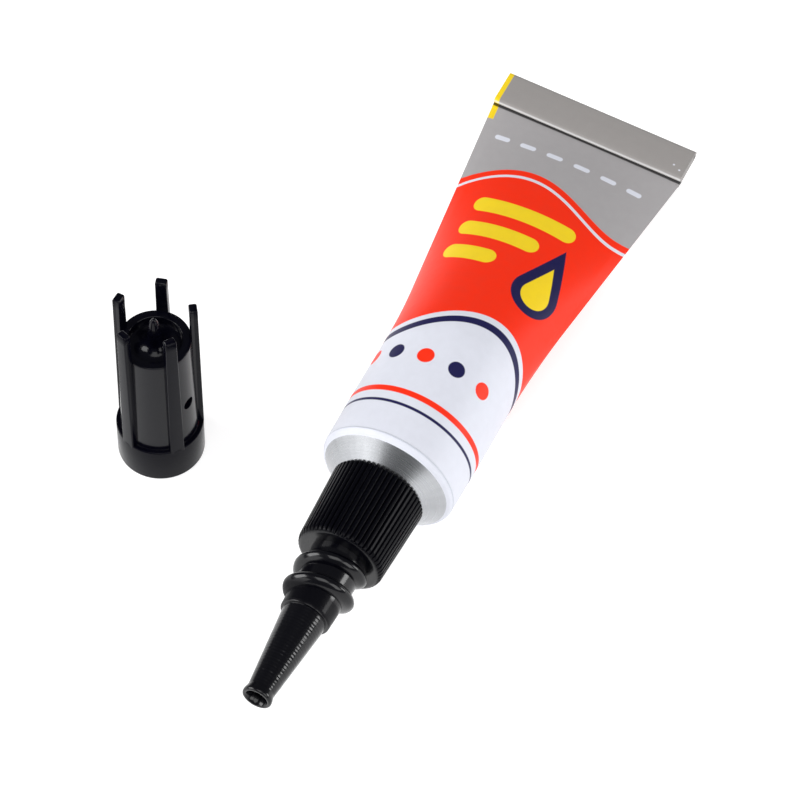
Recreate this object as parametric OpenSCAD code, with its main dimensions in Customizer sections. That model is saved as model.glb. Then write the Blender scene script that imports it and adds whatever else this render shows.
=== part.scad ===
// Collapsible aluminium glue tube lying on its round end, with its nozzle screwed on
// and its cap taken off and standing beside it. Millimetres, +Z up, resting on z = 0.
// The tube's axis runs along X with the nozzle pointing towards -X.
// The origin is the middle of the whole part's footprint.

/* [Tube] */
// Outside diameter of the round part of the tube
tube_d = 13; // [11:0.5:16]
// Thickness of the aluminium wall
wall = 0.12; // [0.1:0.01:0.2]
// Length behind the shoulder that stays round
round_len = 12.8; // [9:0.2:18]
// Length behind the shoulder over which the tube narrows to it
draft_len = 5.2; // [3:0.2:8]
// How much it narrows there, on the radius
draft = 0.07; // [0.02:0.01:0.1]
// Length over which the body flattens towards the tail
taper_len = 29.8; // [26:0.2:45]
// Share of that length over which the slope builds up
taper_ease = 0.06; // [0.04:0.02:0.4]
// Width of the flattened tail
tail_w = 19.4; // [18:0.2:25]
// Turn of the tail about the tube's axis, up on the cap's side
tail_turn = 4; // [-6:0.5:6]
// How far the tail sags below the tube's axis
tail_sag = 0.3; // [0:0.1:1]
// Slope of the shoulder, from the plane square to the axis
shoulder_angle = 38; // [28:1:42]
// Rounding of the edge between the body and the shoulder
corner_r = 0.7; // [0.4:0.1:1]
// Thickness of the shoulder, square to its face
shoulder_t = 0.6; // [0.4:0.05:0.9]

/* [Tail fold] */
// Width of the strip that the tail is folded into
fold_w = 3.5; // [3:0.1:5]
// Air left between the folded layers
fold_gap = 0.05; // [0.03:0.01:0.1]
// Thickness of the sealing compound between the pressed walls
seal_film = 0.07; // [0.06:0.01:0.1]
// Length of the sealing band ahead of the fold
seal_len = 4; // [3:0.5:6]

/* [Neck] */
// Outside diameter of the neck
neck_d = 6.2; // [5.6:0.1:6.6]
// Diameter of the bore in the neck
neck_bore_d = 4.4; // [3.6:0.1:4.8]
// Length of the neck above the shoulder
neck_len = 5.6; // [4.5:0.1:6.4]
// Thickness of the membrane at the mouth of the neck
membrane_t = 0.2; // [0.12:0.02:0.3]
// Diameter of the hole pierced in the membrane
pierce_d = 1.4; // [0.8:0.1:2]

/* [Glue] */
// Length of the glue behind the shoulder
fill_len = 20.5; // [19:0.5:30]

/* [Nozzle] */
// Skirt diameter over its flutes at the shoulder end
skirt_base_d = 8.84; // [8.4:0.02:10]
// Skirt diameter over its flutes at the spout end
skirt_end_d = 8.18; // [7.9:0.02:9]
// Length of the skirt
skirt_len = 7.95; // [7.4:0.05:9.5]
// Number of flutes round the skirt
flute_count = 54; // [36:2:72]
// Depth of the flutes
flute_depth = 0.2; // [0.1:0.02:0.26]
// Rounding of the skirt's outer edge at the spout end
skirt_round = 0.5; // [0.3:0.05:0.7]
// Length along the axis of the smooth patch where the flutes are filled in
patch_len = 2.1; // [1.4:0.1:2.8]
// Width of the smooth patch round the skirt
patch_w = 3.6; // [2.9:0.1:4.4]
// Turn of the smooth patch round the skirt, up from the cap's side
patch_turn = 44; // [-90:1:90]
// Diameter over the cap thread
thread_d = 6.5; // [6.1:0.1:6.6]
// Diameter of the spout under the cap thread
thread_root_d = 5.3; // [5:0.1:5.5]
// Pitch of the cap thread
thread_pitch = 2.5; // [2:0.1:2.7]
// Number of turns of the cap thread
thread_turns = 1.8; // [1.2:0.1:2]
// Distance from the skirt's end to the start of the thread
thread_lead = 0.5; // [0.4:0.05:0.8]
// Turn of the thread's start round the spout
thread_start = 200; // [0:5:355]
// Distance from the skirt's end to the step on the spout
step_reach = 6.62; // [6.2:0.02:7.4]
// Diameter of the spout at the step, on the thread side
band_d = 4.68; // [4.4:0.02:4.9]
// Diameter of the slender cone at the step
cone_base_d = 4.16; // [3.8:0.02:4.3]
// Diameter of the slender cone behind its lip
cone_tip_d = 2.5; // [2.3:0.05:2.8]
// Length of the slender cone
cone_len = 8.25; // [7:0.05:9]
// Diameter of the lip round the outlet
lip_d = 2.76; // [2.5:0.02:3]
// Length of the lip
lip_len = 0.95; // [0.6:0.05:1.2]
// Diameter of the outlet
outlet_d = 1.45; // [0.8:0.05:1.6]
// Length of the straight outlet bore
outlet_len = 5; // [3:0.5:6]
// Diameter of the channel behind the thread
channel_d = 3; // [2.4:0.1:3.2]

/* [Cap] */
// Outside diameter of the collar
collar_d = 7.9; // [7.7:0.1:8.6]
// Height of the collar
collar_h = 4; // [3.8:0.1:5]
// Diameter of the cap's body just above the collar
cap_base_d = 7; // [6.8:0.05:7.4]
// Diameter of the cap's body at its rim
cap_rim_d = 6.5; // [6.2:0.05:7]
// Thickness of the cap's wall
cap_wall = 0.8; // [0.6:0.05:0.9]
// Number of ribs that rise as prongs
rib_count = 5; // [3:1:6]
// Width of a rib at the collar
rib_base_w = 1.45; // [1:0.05:1.8]
// Width of a rib at its top
rib_top_w = 1.05; // [0.8:0.05:1.4]
// Height of the prongs above the rim
prong_h = 4; // [2:0.1:5]
// Thickness of the prongs
prong_t = 0.75; // [0.5:0.05:0.9]
// Diameter over the prongs at their tops
prong_d = 7.4; // [7:0.05:7.8]
// Turn of the ribs round the cap
rib_turn = 16; // [-36:1:36]
// Thickness of the crown's floor over the spout's tip
crown_t = 0.33; // [0.3:0.01:0.5]
// Depth of the crown's floor below the rim
crown_depth = 0.9; // [0.5:0.05:1.1]
// Height of the piercing spike above the rim
spike_h = 3; // [1.5:0.1:4]
// Diameter of the spike at its foot
spike_d = 1.3; // [1:0.05:1.6]
// Diameter of the spike's blunt point
spike_tip_d = 0.2; // [0.1:0.05:0.4]
// Diameter of the vent hole
vent_d = 1.25; // [0.8:0.05:1.6]
// Height of the vent hole
vent_h = 9; // [7:0.1:12]
// Direction of the vent hole round the cap
vent_turn = -98; // [-180:1:180]

/* [Lay] */
// How far the cap stands from the tube's axis
cap_offset = 22; // [19:0.5:40]
// How far the cap stands ahead of the tube's shoulder
cap_ahead = 1.7; // [-10:0.1:20]

/* [Fits] */
// Clearance of the nozzle on the neck, on the radius
neck_clearance = 0.1; // [0.06:0.01:0.15]
// Gap between the nozzle and the shoulder or the neck's mouth
seat_gap = 0.3; // [0.15:0.05:0.45]
// Clearance of the cap round the thread and the spout, on the radius
cap_clearance = 0.15; // [0.1:0.01:0.2]
// Gap between the cap and the skirt when the cap is on
cap_seat_gap = 1.2; // [1:0.05:1.6]
// Room between the glue or the sealing band and the metal
fill_clearance = 0.015; // [0.01:0.005:0.02]

/* [Hidden] */

// Facets round the lofted body, with a corner at each side and a flat underneath,
// and steps along its taper and round its corner
body_sides = 62;
taper_steps = 10;
least_step = 0.2 / taper_steps;
corner_steps = 4;
// Steps round the skirt's rolled end
round_steps = 6;
// Facets in a turn of the thread, and how many of them sink each end into the spout
thread_steps = 28;
thread_fade = 5;
// Outline of one flute: share of its pitch and share of its depth
flute_shape = [[0, 0], [0.5, 0], [0.68, 1], [0.82, 1]];
// Outline of the thread's bead: share of its height and share of its half width
bead_shape = [[0, 1], [0.75, 0.62], [1, 0.25], [1, -0.25], [0.75, -0.62], [0, -1]];
// How sharply the pressed tail's edges close
edge_sharpness = 5;
round_fn = 96;
small_fn = 48;

// Sizes of the tube
tube_r = tube_d / 2;
axis_h = tube_r * cos(180 / body_sides);
edge_r = tube_r - draft;
body_len = round_len + taper_len;
ply = 2 * wall + seal_film;
layer_step = ply + fold_gap;
shell_pinch = 4 * ply;
seal_pinch = 5 * ply;
neck_r = neck_d / 2;
neck_bore_r = neck_bore_d / 2;
neck_wall = neck_r - neck_bore_r;
neck_root = shoulder_height(neck_r);
neck_top = neck_root + neck_len;
shoulder_drop = shoulder_t / cos(shoulder_angle);

// Sizes of the nozzle, along the tube's axis from the shoulder's edge
skirt_base_r = skirt_base_d / 2;
skirt_end_r = skirt_end_d / 2;
skirt_start = shoulder_height(skirt_base_r) + seat_gap;
skirt_end = skirt_start + skirt_len;
socket_r = neck_r + neck_clearance;
socket_end = neck_top + seat_gap;
thread_r = thread_d / 2;
thread_root_r = thread_root_d / 2;
bead_half = 0.32 * thread_pitch;
step_at = skirt_end + step_reach;
cone_end = step_at + cone_len;
tip_at = cone_end + lip_len;
outlet_r = outlet_d / 2;
channel_r = channel_d / 2;

// Sizes of the cap, from the surface it stands on
collar_r = collar_d / 2;
cap_base_r = cap_base_d / 2;
cap_rim_r = cap_rim_d / 2;
cap_socket_r = thread_r + cap_clearance;
cap_tip_h = tip_at - skirt_end - cap_seat_gap;
tip_pocket_r = lip_d / 2 + cap_clearance;
tip_pocket_h = cap_tip_h + cap_clearance;
socket_top_h = collar_h - cap_wall / 2;
crown_floor_h = tip_pocket_h + crown_t;
rim_h = crown_floor_h + crown_depth;
cap_top = rim_h + prong_h;
cap_bore_base_r = cap_base_r - cap_wall;
cap_bore_top_r = cap_rim_r - cap_wall;

// Places in the shared frame
tip_x = -tip_at;
tail_x = body_len + fold_w;
tail_side_y = tail_w / 2 * cos(tail_turn);
cap_far_y = cap_offset + collar_r;
shoulder_x = -(tip_x + tail_x) / 2;
axis_y = -(cap_far_y - tail_side_y) / 2;

// Height of the shoulder's cone above the body's edge, at a given radius
function shoulder_height(radius) = (tube_r - radius) * tan(shoulder_angle);

function mixed(from, to, share) = from + (to - from) * share;

// A triangle wave that falls from 1 to -1 and rises again as the angle goes round
function across_share(angle) = abs(angle - 180) / 90 - 1;

function pressed_share(angle) = max(-1, min(1, edge_sharpness * sin(angle)));

// How far the body is pressed flat, at a share of the taper's length
function pressed_flat(along) =
    (along < taper_ease ? along * along / (2 * taper_ease) : along - taper_ease / 2)
    / (1 - taper_ease / 2);

// One ring of the body: a circle that is pressed flat, turned and lowered as share goes from 0 to 1.
// It starts at one side edge, and the flat ring keeps each point's distance along the wall.
function body_ring(at, share, inset, half_thick) = [
    for (i = [0 : body_sides - 1])
        let (angle = 360 * i / body_sides)
        let (turn = share * tail_turn)
        let (circle_r = tube_r - inset)
        let (up = -mixed(circle_r * sin(angle), half_thick * pressed_share(angle), share))
        let (side = mixed(circle_r * cos(angle), (tail_w / 2 - inset) * across_share(angle), share))
        [
            up * cos(turn) + side * sin(turn) - share * tail_sag,
            side * cos(turn) - up * sin(turn),
            at
        ]
];

function round_ring(at, radius) = [
    for (i = [0 : body_sides - 1])
        let (angle = 360 * i / body_sides)
        [-radius * sin(angle), radius * cos(angle), at]
];

// Shares of the taper's length between two ends, at the same steps for every loft
function taper_stops(low, high) = concat(
    [low],
    [
        for (i = [1 : taper_steps - 1])
            let (stop = i / taper_steps)
            if (stop > low + least_step && stop < high - least_step)
                stop
    ],
    [high]
);

// Rings of the taper from one share of its length to another
function taper_rings(from, to, inset, half_thick) =
    let (stops = taper_stops(min(from, to), max(from, to)))
    let (last = len(stops) - 1)
    [
        for (i = [0 : last])
            let (along = stops[from < to ? i : last - i])
            body_ring(-round_len - along * taper_len, pressed_flat(along), inset, half_thick)
    ];

// Rings round the rolled edge between body and shoulder
function corner_rings() = [
    for (i = [0 : corner_steps])
        let (turn = (90 - shoulder_angle) * i / corner_steps)
        let (start = shoulder_height(edge_r) - corner_r * tan((90 - shoulder_angle) / 2))
        round_ring(start + corner_r * sin(turn), edge_r - corner_r * (1 - cos(turn)))
];

// Closed skin over a list of rings, joined side by side and capped at both ends
module skin(rings) {
    count = len(rings);
    sides = len(rings[0]);
    points = [for (ring = rings) for (point = ring) point];
    walls = [
        for (k = [0 : count - 2])
            for (i = [0 : sides - 1])
                let (j = (i + 1) % sides)
                for (half = [0, 1])
                    half == 0
                        ? [k * sides + i, (k + 1) * sides + j, k * sides + j]
                        : [k * sides + i, (k + 1) * sides + i, (k + 1) * sides + j]
    ];
    first_cap = strip_faces(sides);
    last_cap = [for (face = first_cap) [for (i = [2 : -1 : 0]) (count - 1) * sides + face[i]]];
    polyhedron(points = points, faces = concat(walls, first_cap, last_cap), convexity = 6);
}

// Triangles that close a ring in strips, from its first point to the one opposite
function strip_faces(sides) = [
    for (k = [0 : sides / 2 - 1])
        let (left = (sides - k) % sides)
        let (next_left = sides - k - 1)
        for (face = [[k, k + 1, next_left], [k, next_left, left]])
            if (face[0] != face[2] && face[1] != face[2])
                face
];

// Lays the tube down: its own Z runs along the axis to the tip, its own X points up
module lay_tube() {
    translate([shoulder_x, axis_y, axis_h])
        rotate([0, -90, 0])
            children();
}

module place_cap() {
    translate([shoulder_x - cap_ahead, axis_y + cap_offset, 0])
        children();
}

// Cross-section of the twice folded tail, in the plane of its thickness and the axis
module fold_profile() {
    front = -body_len;
    turn_r = layer_step + ply / 2;
    turn_at = front - fold_w + turn_r;
    tongue = ply / 2 + fold_gap / 2;
    overlap = 2 * ply;
    translate([-ply / 2, turn_at])
        square([ply, front + overlap - turn_at]);
    translate([layer_step - ply / 2, turn_at])
        square([ply, front - turn_at]);
    translate([2 * layer_step - ply / 2, turn_at])
        square([ply, front - turn_at]);
    translate([layer_step, turn_at])
        half_turn(turn_r, turn_r - ply, -1);
    translate([1.5 * layer_step, front])
        half_turn(tongue + ply / 2, fold_gap / 2, 1);
}

// Half a ring on the upper (1) or lower (-1) side of its centre line
module half_turn(outer_r, inner_r, side) {
    intersection() {
        difference() {
            circle(r = outer_r, $fn = small_fn);
            circle(r = inner_r, $fn = small_fn);
        }
        translate([-2 * outer_r, side > 0 ? 0 : -4 * outer_r])
            square(4 * outer_r);
    }
}

module tail_fold() {
    translate([-tail_sag, 0, 0])
        rotate([0, 0, -tail_turn])
            rotate([90, 0, 0])
                linear_extrude(height = tail_w - 2 * wall, center = true)
                    fold_profile();
}

// The neck with its pierced membrane, rooted in the shoulder
module neck() {
    root = neck_root - shoulder_drop / 2;
    rotate_extrude($fn = round_fn)
        polygon([
            [neck_bore_r, root],
            [neck_r, root],
            [neck_r, neck_top - neck_wall / 3],
            [neck_r - neck_wall / 3, neck_top],
            [pierce_d / 2, neck_top],
            [pierce_d / 2, neck_top - membrane_t],
            [neck_bore_r, neck_top - membrane_t]
        ]);
}

module tube_shell() {
    outer_r = neck_r - neck_wall / 4;
    inner_r = neck_bore_r + neck_wall / 4;
    top = shoulder_height(outer_r);
    inner_top = shoulder_height(inner_r) - shoulder_drop;
    inner_base = shoulder_height(edge_r - wall) - shoulder_drop;
    pinch = 1 - shell_pinch / taper_len;
    color("silver")
        lay_tube()
            union() {
                skin(concat(
                    taper_rings(1, 0, 0, ply / 2),
                    [round_ring(-draft_len, tube_r)],
                    corner_rings(),
                    [round_ring(top, outer_r), round_ring(top, inner_r), round_ring(inner_top, inner_r)],
                    [round_ring(inner_base, edge_r - wall), round_ring(-draft_len, tube_r - wall)],
                    taper_rings(0, pinch, wall, seal_film / 2)
                ));
                neck();
                tail_fold();
            }
}

module end_seal() {
    inset = wall + fill_clearance;
    start = 1 - seal_len / taper_len;
    pinch = 1 - seal_pinch / taper_len;
    color("ivory")
        lay_tube()
            skin(taper_rings(pinch, start, inset, seal_film / 2 - fill_clearance));
}

module adhesive() {
    inset = wall + fill_clearance;
    plug_r = neck_bore_r - fill_clearance;
    under = shoulder_drop + 2 * fill_clearance;
    base = shoulder_height(edge_r - inset) - under;
    far_share = (fill_len - round_len) / taper_len;
    color("aliceblue")
        lay_tube()
            union() {
                skin(concat(
                    taper_rings(far_share, 0, inset, seal_film / 2),
                    [round_ring(-draft_len, tube_r - inset), round_ring(base, edge_r - inset)],
                    [round_ring(neck_root - under, neck_r)]
                ));
                translate([0, 0, base])
                    cylinder(r = plug_r, h = neck_top - membrane_t - fill_clearance - base, $fn = round_fn);
            }
}

// Skirt's section: flat-topped ridges with a groove between each pair
module fluted_section() {
    pitch = 360 / flute_count;
    polygon([
        for (i = [0 : flute_count - 1])
            for (corner = flute_shape)
                let (angle = (i + corner[0]) * pitch)
                let (radius = skirt_base_r - corner[1] * flute_depth)
                [radius * cos(angle), radius * sin(angle)]
    ]);
}

// The skirt's smooth envelope: hollowed underside, drafted side and rolled end
module skirt_envelope() {
    round_at = [skirt_end_r - skirt_round, skirt_end - skirt_round];
    hollow = (skirt_base_r - socket_r) * tan(shoulder_angle);
    rotate_extrude($fn = round_fn)
        polygon(concat(
            [[0, skirt_start + hollow], [socket_r, skirt_start + hollow], [skirt_base_r, skirt_start]],
            [
                for (i = [0 : round_steps])
                    let (turn = 90 * i / round_steps)
                    round_at + skirt_round * [cos(turn), sin(turn)]
            ],
            [[0, skirt_end]]
        ));
}

// Smooth patch that fills the flutes, as a round-ended slab from the axis outwards
module patch() {
    straight = patch_w - patch_len;
    translate([0, 0, skirt_end - patch_len / 2 - skirt_round / 2])
        rotate([0, 0, -patch_turn])
            rotate([-90, 0, 0])
                linear_extrude(height = skirt_base_r) {
                    square([straight, patch_len], center = true);
                    for (side = [-1, 1])
                        translate([side * straight / 2, 0])
                            circle(d = patch_len, $fn = small_fn);
                }
}

module skirt() {
    intersection() {
        union() {
            translate([0, 0, skirt_start])
                linear_extrude(height = skirt_len, scale = skirt_end_d / skirt_base_d)
                    fluted_section();
            patch();
        }
        skirt_envelope();
    }
}

// Outside of the spout, from inside the skirt to the lip round the outlet
module spout() {
    root_at = skirt_end - thread_pitch / 2;
    lip_r = lip_d / 2;
    lip_edge = lip_len / 5;
    rotate_extrude($fn = round_fn)
        polygon([
            [0, root_at],
            [thread_root_r, root_at],
            [thread_root_r, skirt_end],
            [band_d / 2, step_at],
            [cone_base_d / 2, step_at],
            [cone_tip_d / 2, cone_end],
            [lip_r, tip_at - 2 * lip_edge],
            [lip_r, tip_at - lip_edge],
            [lip_r - lip_edge, tip_at],
            [0, tip_at]
        ]);
}

// Rounded helical bead for the cap, sunk at its ends into the spout
module cap_thread() {
    steps = ceil(thread_turns * thread_steps);
    foot_r = thread_root_r - thread_pitch / 4;
    sunk_r = mixed(foot_r, thread_r, 0.35);
    first = skirt_end + thread_lead;
    skin([
        for (i = [0 : steps])
            let (angle = thread_start + 360 * i / thread_steps)
            let (rise = thread_pitch * i / thread_steps)
            let (height = min(1, i / thread_fade, (steps - i) / thread_fade))
            let (crest_r = mixed(sunk_r, thread_r, height))
            [
                for (corner = bead_shape)
                    let (radius = mixed(foot_r, crest_r, corner[0]))
                    let (at = first + rise + bead_half * corner[1])
                    [radius * cos(angle), radius * sin(angle), at]
            ]
    ]);
}

// Everything hollow in the nozzle: socket for the neck, chamber, channel and outlet
module nozzle_bores() {
    below = skirt_start - seat_gap;
    channel_at = socket_end + channel_r;
    outlet_at = tip_at - outlet_len;
    beyond = tip_at + lip_len;
    rotate_extrude($fn = round_fn)
        polygon([
            [0, below],
            [socket_r, below],
            [socket_r, socket_end],
            [neck_bore_r, socket_end],
            [channel_r, channel_at],
            [outlet_r, outlet_at],
            [outlet_r, beyond],
            [0, beyond]
        ]);
}

module nozzle() {
    color([0.06, 0.06, 0.07])
        lay_tube()
            difference() {
                union() {
                    skirt();
                    spout();
                    cap_thread();
                }
                nozzle_bores();
            }
}

// Collar, tapered body, crown floor with its spike, and the hollow that takes the spout
module cap_body() {
    edge = cap_wall / 4;
    spike_foot_r = spike_d / 2;
    ceiling_h = crown_floor_h - cap_wall;
    rotate_extrude($fn = round_fn)
        polygon([
            [cap_socket_r, 0],
            [collar_r - edge, 0],
            [collar_r, edge],
            [collar_r, collar_h - edge],
            [collar_r - edge, collar_h],
            [cap_base_r, collar_h],
            [cap_rim_r, rim_h],
            [cap_bore_top_r, rim_h],
            [cap_bore_top_r - edge, crown_floor_h],
            [spike_foot_r + 3 * edge, crown_floor_h + edge],
            [spike_foot_r, crown_floor_h + 4 * edge],
            [spike_tip_d / 2, rim_h + spike_h],
            [0, rim_h + spike_h],
            [0, tip_pocket_h],
            [tip_pocket_r, tip_pocket_h],
            [tip_pocket_r + edge, ceiling_h],
            [cap_bore_top_r - edge, ceiling_h],
            [cap_bore_base_r, collar_h + cap_wall],
            [cap_socket_r, socket_top_h]
        ]);
}

// Ring that the ribs are cut from: flush with the collar, leaning in to the prongs' tops
module rib_ring() {
    edge = prong_t / 5;
    prong_r = prong_d / 2;
    rotate_extrude($fn = round_fn)
        polygon([
            [cap_base_r - cap_wall / 4, collar_h - cap_wall / 4],
            [collar_r, collar_h - cap_wall / 4],
            [prong_r, cap_top - edge],
            [prong_r - edge, cap_top],
            [prong_r - prong_t, cap_top],
            [cap_rim_r - cap_wall / 2, rim_h - cap_wall]
        ]);
}

module ribs() {
    intersection() {
        rib_ring();
        for (i = [0 : rib_count - 1])
            rotate([90, 0, rib_turn + 90 + 360 * i / rib_count])
                linear_extrude(height = collar_d)
                    polygon([
                        [-rib_base_w / 2, 0],
                        [rib_base_w / 2, 0],
                        [rib_top_w / 2, cap_top],
                        [-rib_top_w / 2, cap_top]
                    ]);
    }
}

module cap() {
    color([0.05, 0.05, 0.06])
        place_cap()
            difference() {
                union() {
                    cap_body();
                    ribs();
                }
                translate([0, 0, vent_h])
                    rotate([0, 90, vent_turn])
                        cylinder(d = vent_d, h = collar_d, $fn = small_fn);
            }
}

tube_shell();
end_seal();
adhesive();
nozzle();
cap();
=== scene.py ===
"""Looks of the glue tube: the printed aluminium tube, its black nozzle and the cap beside it.

Sizes are in millimetres until a piece is made. The tube's own axes are up, side (+Y) and ahead,
where ahead runs along the axis from the shoulder's edge towards the spout's tip.
"""
import math

import bpy
import numpy as np
from mathutils import Matrix, Vector


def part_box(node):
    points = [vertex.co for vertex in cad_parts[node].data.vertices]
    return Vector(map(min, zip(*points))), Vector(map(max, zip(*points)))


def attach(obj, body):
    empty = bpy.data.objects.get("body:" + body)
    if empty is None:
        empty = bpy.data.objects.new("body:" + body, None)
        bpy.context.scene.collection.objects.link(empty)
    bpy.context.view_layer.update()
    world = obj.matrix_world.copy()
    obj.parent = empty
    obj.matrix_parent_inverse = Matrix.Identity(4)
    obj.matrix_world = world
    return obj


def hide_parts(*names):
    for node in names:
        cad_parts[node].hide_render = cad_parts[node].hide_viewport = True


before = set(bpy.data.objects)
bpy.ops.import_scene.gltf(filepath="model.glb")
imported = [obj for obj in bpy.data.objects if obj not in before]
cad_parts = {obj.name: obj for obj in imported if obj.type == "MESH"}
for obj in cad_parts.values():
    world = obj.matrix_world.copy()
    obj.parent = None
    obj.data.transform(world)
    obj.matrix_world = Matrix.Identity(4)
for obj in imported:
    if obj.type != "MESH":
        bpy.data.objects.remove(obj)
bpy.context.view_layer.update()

MM = 0.001

# Tube
BODY_LEN = 42.6
ROUND_LEN = 11.6
TAPER_EASE = 0.14
DRAFT_LEN = 5.2
DRAFT = 0.07
TAIL_TURN = math.radians(4)
TAIL_SAG = 0.3
SHOULDER_ANGLE = math.radians(38)
CORNER_R = 0.7
PLY = 0.31
LAYER_STEP = 0.36
FOLD_W = 3.5
FOLD_INSET = 0.07
FOLD_LAP = 0.6
NECK_R = 3.1
NECK_BORE_R = 2.2
NECK_LEN = 5.6
NECK_PITCH = 1.5
NECK_THREAD_H = 0.34
MEMBRANE_T = 0.2
PIERCE_R = 0.7

# Nozzle, along the axis from the shoulder's edge
SKIRT_BASE_R = 4.42
SKIRT_END_R = 4.09
SKIRT_START = 1.925
SKIRT_LEN = 7.95
SKIRT_END = SKIRT_START + SKIRT_LEN
SKIRT_ROUND = 0.5
FLUTES = 54
FLUTE_DEPTH = 0.2
NECK_CLEARANCE = 0.1
SOCKET_R = NECK_R + NECK_CLEARANCE
SOCKET_END = 8.556
THREAD_R = 3.25
THREAD_ROOT_R = 2.65
THREAD_PITCH = 2.5
THREAD_TURNS = 1.8
THREAD_LEAD = 0.5
THREAD_START = math.radians(200)
BAND_R = 2.34
STEP_REACH = 6.62
STEP_AT = SKIRT_END + STEP_REACH
CONE_BASE_R = 2.08
CONE_TIP_R = 1.25
CONE_LEN = 8.25
CONE_END = STEP_AT + CONE_LEN
LIP_R = 1.38
LIP_LEN = 0.95
TIP_AT = CONE_END + LIP_LEN
OUTLET_R = 0.725
OUTLET_LEN = 5.0
CHANNEL_R = 1.5

# Cap, up from the surface it stands on
COLLAR_R = 3.95
COLLAR_H = 4.0
CAP_BASE_R = 3.5
CAP_RIM_R = 3.25
RIM_H = 16.0
CAP_WALL = 0.8
CROWN_FLOOR = 15.1
SPIKE_R = 0.65
SPIKE_TOP = 19.0
CAP_TOP = 20.0
RIBS = 5
RIB_TURN = math.radians(16)
RIB_BASE_W = 1.45
RIB_TOP_W = 1.05
RIB_T = 0.75
PRONG_R = 3.9
CAP_SOCKET_R = 3.4
CAP_SHARP = 35
VENT_R = 0.625
VENT_H = 9.0
VENT_TURN = math.radians(-98)

# Colours of the print, SHADOW for painted shadow at the tail's fold, and the softness of the print's
# edges
GREY = (0.39, 0.375, 0.38)
STRIP_GREY = (0.315, 0.298, 0.288)
RED = (0.95, 0.030, 0.006)
WHITE = (0.71, 0.725, 0.80)
NAVY = (0.012, 0.011, 0.070)
YELLOW = (0.92, 0.66, 0.02)
# SHADOW is no print colour: it paints the shadow under the fold's nose.
SHADOW = (0.008, 0.008, 0.008)
CRISP = 0.05

# Camera fitted to the photo: angles in degrees, distance in metres, focal length and width in pixels
CAMERA_ANGLES = (-64.417, 54.552, 0.463)
CAMERA_DISTANCE = 0.41993
CAMERA_FOCAL_PX = 4590.1
PHOTO_WIDTH_PX = 800
SENSOR_W = 36
AIM_BEHIND_SHOULDER = 12.203
AIM_ASIDE = 4.683

# Soft lights: name, place and edge in metres, power in watts
LIGHTS = (
    ("camera_softbox", (-0.21, -0.12, 0.56), 0.40, 1.5),
    ("left_softbox", (-0.20, 0.48, 0.32), 0.36, 3.0),
    ("right_softbox", (-0.20, -0.50, 0.32), 0.36, 1.4),
    ("front_softbox", (-0.50, 0.34, 0.17), 0.38, 0.80),
    ("low_side_light", (0.24, -0.52, 0.12), 0.18, 0.9),
)

# Places and sizes from the frame
shell_low, shell_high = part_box("tube_shell")
cap_low, cap_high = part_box("cap")
AXIS_Y = (shell_low.y + shell_high.y) / 2 / MM
TUBE_R = shell_high.z / 2 / MM
TAIL_HALF = (shell_high.y - shell_low.y) / 2 / MM / math.cos(TAIL_TURN)
SHOULDER_X = shell_high.x / MM - BODY_LEN - FOLD_W
CAP_X = (cap_low.x + cap_high.x) / 2 / MM
CAP_Y = (cap_low.y + cap_high.y) / 2 / MM
NECK_ROOT = (TUBE_R - NECK_R) * math.tan(SHOULDER_ANGLE)
NECK_TOP = NECK_ROOT + NECK_LEN
GIRTH = 2 * math.pi * TUBE_R


class Wire:
    """A number inside a material, with the usual sums."""

    def __init__(self, look, socket):
        self.look = look
        self.socket = socket

    def sum(self, operation, *inputs):
        node = self.look.make("ShaderNodeMath", {"operation": operation}, dict(enumerate(inputs)))
        return Wire(self.look, node.outputs[0])

    def __add__(self, other):
        return self.sum("ADD", self, other)

    def __radd__(self, other):
        return self.sum("ADD", other, self)

    def __sub__(self, other):
        return self.sum("SUBTRACT", self, other)

    def __rsub__(self, other):
        return self.sum("SUBTRACT", other, self)

    def __mul__(self, other):
        return self.sum("MULTIPLY", self, other)

    def __rmul__(self, other):
        return self.sum("MULTIPLY", other, self)

    def __pow__(self, other):
        return self.sum("POWER", self, other)

    def __neg__(self):
        return self.sum("MULTIPLY", self, -1.0)

    def __abs__(self):
        return self.sum("ABSOLUTE", self)

    def sin(self):
        return self.sum("SINE", self)

    def least(self, other):
        return self.sum("MINIMUM", self, other)

    def most(self, other):
        return self.sum("MAXIMUM", self, other)

    def rises(self, low, high):
        """0 below low, 1 above high and smooth between them."""
        node = self.look.make(
            "ShaderNodeMapRange", {"interpolation_type": "SMOOTHSTEP"},
            {"Value": self, "From Min": low, "From Max": high, "To Min": 0.0, "To Max": 1.0},
        )
        return Wire(self.look, node.outputs[0])

    def falls(self, low, high):
        return 1.0 - self.rises(low, high)


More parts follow.
